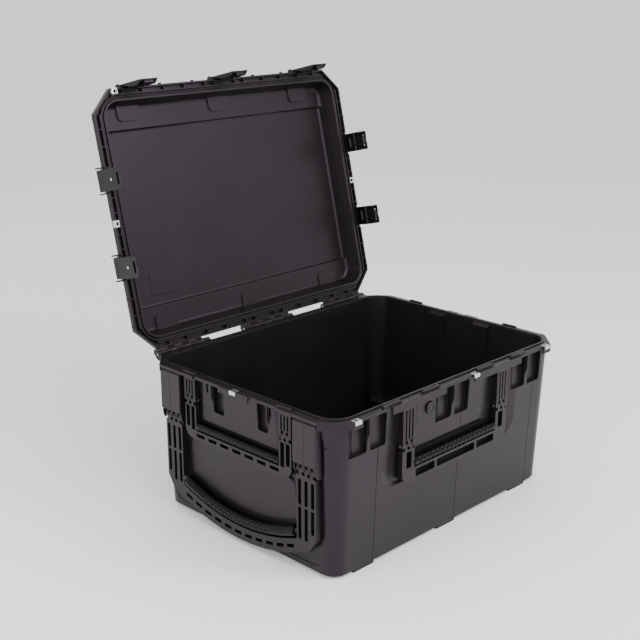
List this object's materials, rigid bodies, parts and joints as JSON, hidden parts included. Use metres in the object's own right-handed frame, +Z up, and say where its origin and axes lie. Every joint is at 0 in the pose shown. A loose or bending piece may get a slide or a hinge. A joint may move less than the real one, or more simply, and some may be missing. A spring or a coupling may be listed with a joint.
{
  "type": "wheeled waterproof hard case",
  "caption": "Large open waterproof hard case with hinged lid, gasket, swinging latches, folding carry handles, a pull handle and wheels.",
  "frame": {"origin": "centre of the base's underside, on the floor", "axes": "+Z up, +X along the case's long side towards the wheels, +Y towards the hinge; the latched front faces -Y"},
  "size_m": [0.827, 0.8184, 0.9934],
  "materials": {
    "case_plastic": "satin, fine moulded grain",
    "latch_plastic": "satin moulded",
    "handle_plastic": "satin moulded",
    "grip_rubber": "matte, ribbed",
    "seal_rubber": "matte",
    "valve_plastic": "satin moulded",
    "loop_steel": "stamped stainless steel, satin",
    "pin_steel": "drawn stainless steel",
    "spring_steel": "spring steel strip",
    "wheel_plastic": "moulded",
    "wheel_tyre": "worn matte tread",
    "screw_steel": "plated steel"
  },
  "bodies": {
    "base": {"base_floor": "case_plastic", "base_wall_front": "case_plastic", "base_wall_back": "case_plastic", "base_wall_left": "case_plastic", "base_wall_right": "case_plastic", "hinge_pins": "pin_steel", "base_lock_plates": "loop_steel", "handle_pins": "pin_steel", "pull_handle_cover_front": "handle_plastic", "pull_handle_cover_rear": "handle_plastic", "valve_body": "valve_plastic", "valve_seal": "seal_rubber", "valve_nut": "valve_plastic", "wheel_housing_front": "wheel_plastic", "wheel_housing_rear": "wheel_plastic", "wheel_axles": "pin_steel", "housing_screws": "screw_steel"},
    "lid": {"lid_shell": "case_plastic", "lid_gasket": "seal_rubber", "lid_lock_plates": "loop_steel", "latch_pins": "pin_steel"},
    "front_handle": {"front_handle_frame": "handle_plastic", "front_handle_grip": "grip_rubber"},
    "left_carry_handle": {"left_carry_handle_frame": "handle_plastic", "left_carry_handle_grip": "grip_rubber"},
    "right_carry_handle": {"right_carry_handle_frame": "handle_plastic", "right_carry_handle_grip": "grip_rubber"},
    "pull_handle": {"pull_handle_frame": "handle_plastic", "pull_handle_grip": "grip_rubber"},
    "wheel_front": {"wheel_hub_front": "wheel_plastic", "wheel_tyre_front": "wheel_tyre"},
    "wheel_rear": {"wheel_hub_rear": "wheel_plastic", "wheel_tyre_rear": "wheel_tyre"},
    "latch_front_left": {"latch_front_left": "latch_plastic", "trigger_spring_front_left": "spring_steel"},
    "trigger_front_left": {"latch_trigger_front_left": "latch_plastic"},
    "latch_front_middle": {"latch_front_middle": "latch_plastic", "trigger_spring_front_middle": "spring_steel"},
    "trigger_front_middle": {"latch_trigger_front_middle": "latch_plastic"},
    "latch_front_right": {"latch_front_right": "latch_plastic", "trigger_spring_front_right": "spring_steel"},
    "trigger_front_right": {"latch_trigger_front_right": "latch_plastic"},
    "latch_left_rear": {"latch_left_rear": "latch_plastic", "trigger_spring_left_rear": "spring_steel"},
    "trigger_left_rear": {"latch_trigger_left_rear": "latch_plastic"},
    "latch_left_front": {"latch_left_front": "latch_plastic", "trigger_spring_left_front": "spring_steel"},
    "trigger_left_front": {"latch_trigger_left_front": "latch_plastic"},
    "latch_right_front": {"latch_right_front": "latch_plastic", "trigger_spring_right_front": "spring_steel"},
    "trigger_right_front": {"latch_trigger_right_front": "latch_plastic"},
    "latch_right_rear": {"latch_right_rear": "latch_plastic", "trigger_spring_right_rear": "spring_steel"},
    "trigger_right_rear": {"latch_trigger_right_rear": "latch_plastic"}
  },
  "joints": [
    {"name": "lid_hinge", "type": "hinge", "parent": "base", "child": "lid", "pos_m": [0, 0.3196, 0.3607], "axis": [1, 0, 0], "range_deg": [0, 103.3]},
    {"name": "front_handle_pivot", "type": "hinge", "parent": "base", "child": "front_handle", "pos_m": [0, -0.293, 0.258], "axis": [-1, 0, 0], "range_deg": [0, 90]},
    {"name": "left_carry_handle_pivot", "type": "hinge", "parent": "base", "child": "left_carry_handle", "pos_m": [-0.388, 0, 0.303], "axis": [0, 1, 0], "range_deg": [0, 90]},
    {"name": "right_carry_handle_pivot", "type": "hinge", "parent": "base", "child": "right_carry_handle", "pos_m": [0.388, 0, 0.303], "axis": [0, -1, 0], "range_deg": [0, 90]},
    {"name": "pull_handle_pivot", "type": "hinge", "parent": "base", "child": "pull_handle", "pos_m": [-0.388, 0, 0.244], "axis": [0, 1, 0], "range_deg": [0, 95]},
    {"name": "wheel_front_spin", "type": "hinge", "parent": "base", "child": "wheel_front", "pos_m": [0.362, -0.217, 0.037], "axis": [0, 1, 0], "continuous": true},
    {"name": "wheel_rear_spin", "type": "hinge", "parent": "base", "child": "wheel_rear", "pos_m": [0.362, 0.217, 0.037], "axis": [0, 1, 0], "continuous": true},
    {"name": "latch_front_left_pivot", "type": "hinge", "parent": "lid", "child": "latch_front_left", "pos_m": [-0.28, 0.48888, 0.9625], "axis": [-1, 0, 0], "range_deg": [-6, 95]},
    {"name": "trigger_front_left_press", "type": "hinge", "parent": "latch_front_left", "child": "trigger_front_left", "pos_m": [-0.28, 0.44105, 0.9775], "axis": [1, 0, 0], "range_deg": [0, 8], "stiffness_Nm_per_rad": 0.4, "springref_deg": -8.59},
    {"name": "latch_front_middle_pivot", "type": "hinge", "parent": "lid", "child": "latch_front_middle", "pos_m": [0, 0.48888, 0.9625], "axis": [-1, 0, 0], "range_deg": [-6, 95]},
    {"name": "trigger_front_middle_press", "type": "hinge", "parent": "latch_front_middle", "child": "trigger_front_middle", "pos_m": [0, 0.44105, 0.9775], "axis": [1, 0, 0], "range_deg": [0, 8], "stiffness_Nm_per_rad": 0.4, "springref_deg": -8.59},
    {"name": "latch_front_right_pivot", "type": "hinge", "parent": "lid", "child": "latch_front_right", "pos_m": [0.28, 0.48888, 0.9625], "axis": [-1, 0, 0], "range_deg": [-6, 95]},
    {"name": "trigger_front_right_press", "type": "hinge", "parent": "latch_front_right", "child": "trigger_front_right", "pos_m": [0.28, 0.44105, 0.9775], "axis": [1, 0, 0], "range_deg": [0, 8], "stiffness_Nm_per_rad": 0.4, "springref_deg": -8.59},
    {"name": "latch_left_rear_pivot", "type": "hinge", "parent": "lid", "child": "latch_left_rear", "pos_m": [-0.4, 0.39525, 0.56641], "axis": [0, -0.23, -0.9732], "range_deg": [-6, 95]},
    {"name": "trigger_left_rear_press", "type": "hinge", "parent": "latch_left_rear", "child": "trigger_left_rear", "pos_m": [-0.4036, 0.34659, 0.57792], "axis": [0, 0.23, 0.9732], "range_deg": [0, 8], "stiffness_Nm_per_rad": 0.4, "springref_deg": -8.59},
    {"name": "latch_left_front_pivot", "type": "hinge", "parent": "lid", "child": "latch_left_front", "pos_m": [-0.4, 0.44218, 0.76494], "axis": [0, -0.23, -0.9732], "range_deg": [-6, 95]},
    {"name": "trigger_left_front_press", "type": "hinge", "parent": "latch_left_front", "child": "trigger_left_front", "pos_m": [-0.4036, 0.39352, 0.77644], "axis": [0, 0.23, 0.9732], "range_deg": [0, 8], "stiffness_Nm_per_rad": 0.4, "springref_deg": -8.59},
    {"name": "latch_right_front_pivot", "type": "hinge", "parent": "lid", "child": "latch_right_front", "pos_m": [0.4, 0.44218, 0.76494], "axis": [0, 0.23, 0.9732], "range_deg": [-6, 95]},
    {"name": "trigger_right_front_press", "type": "hinge", "parent": "latch_right_front", "child": "trigger_right_front", "pos_m": [0.4036, 0.39352, 0.77644], "axis": [0, -0.23, -0.9732], "range_deg": [0, 8], "stiffness_Nm_per_rad": 0.4, "springref_deg": -8.59},
    {"name": "latch_right_rear_pivot", "type": "hinge", "parent": "lid", "child": "latch_right_rear", "pos_m": [0.4, 0.39525, 0.56641], "axis": [0, 0.23, 0.9732], "range_deg": [-6, 95]},
    {"name": "trigger_right_rear_press", "type": "hinge", "parent": "latch_right_rear", "child": "trigger_right_rear", "pos_m": [0.4036, 0.34659, 0.57792], "axis": [0, -0.23, -0.9732], "range_deg": [0, 8], "stiffness_Nm_per_rad": 0.4, "springref_deg": -8.59}
  ]
}
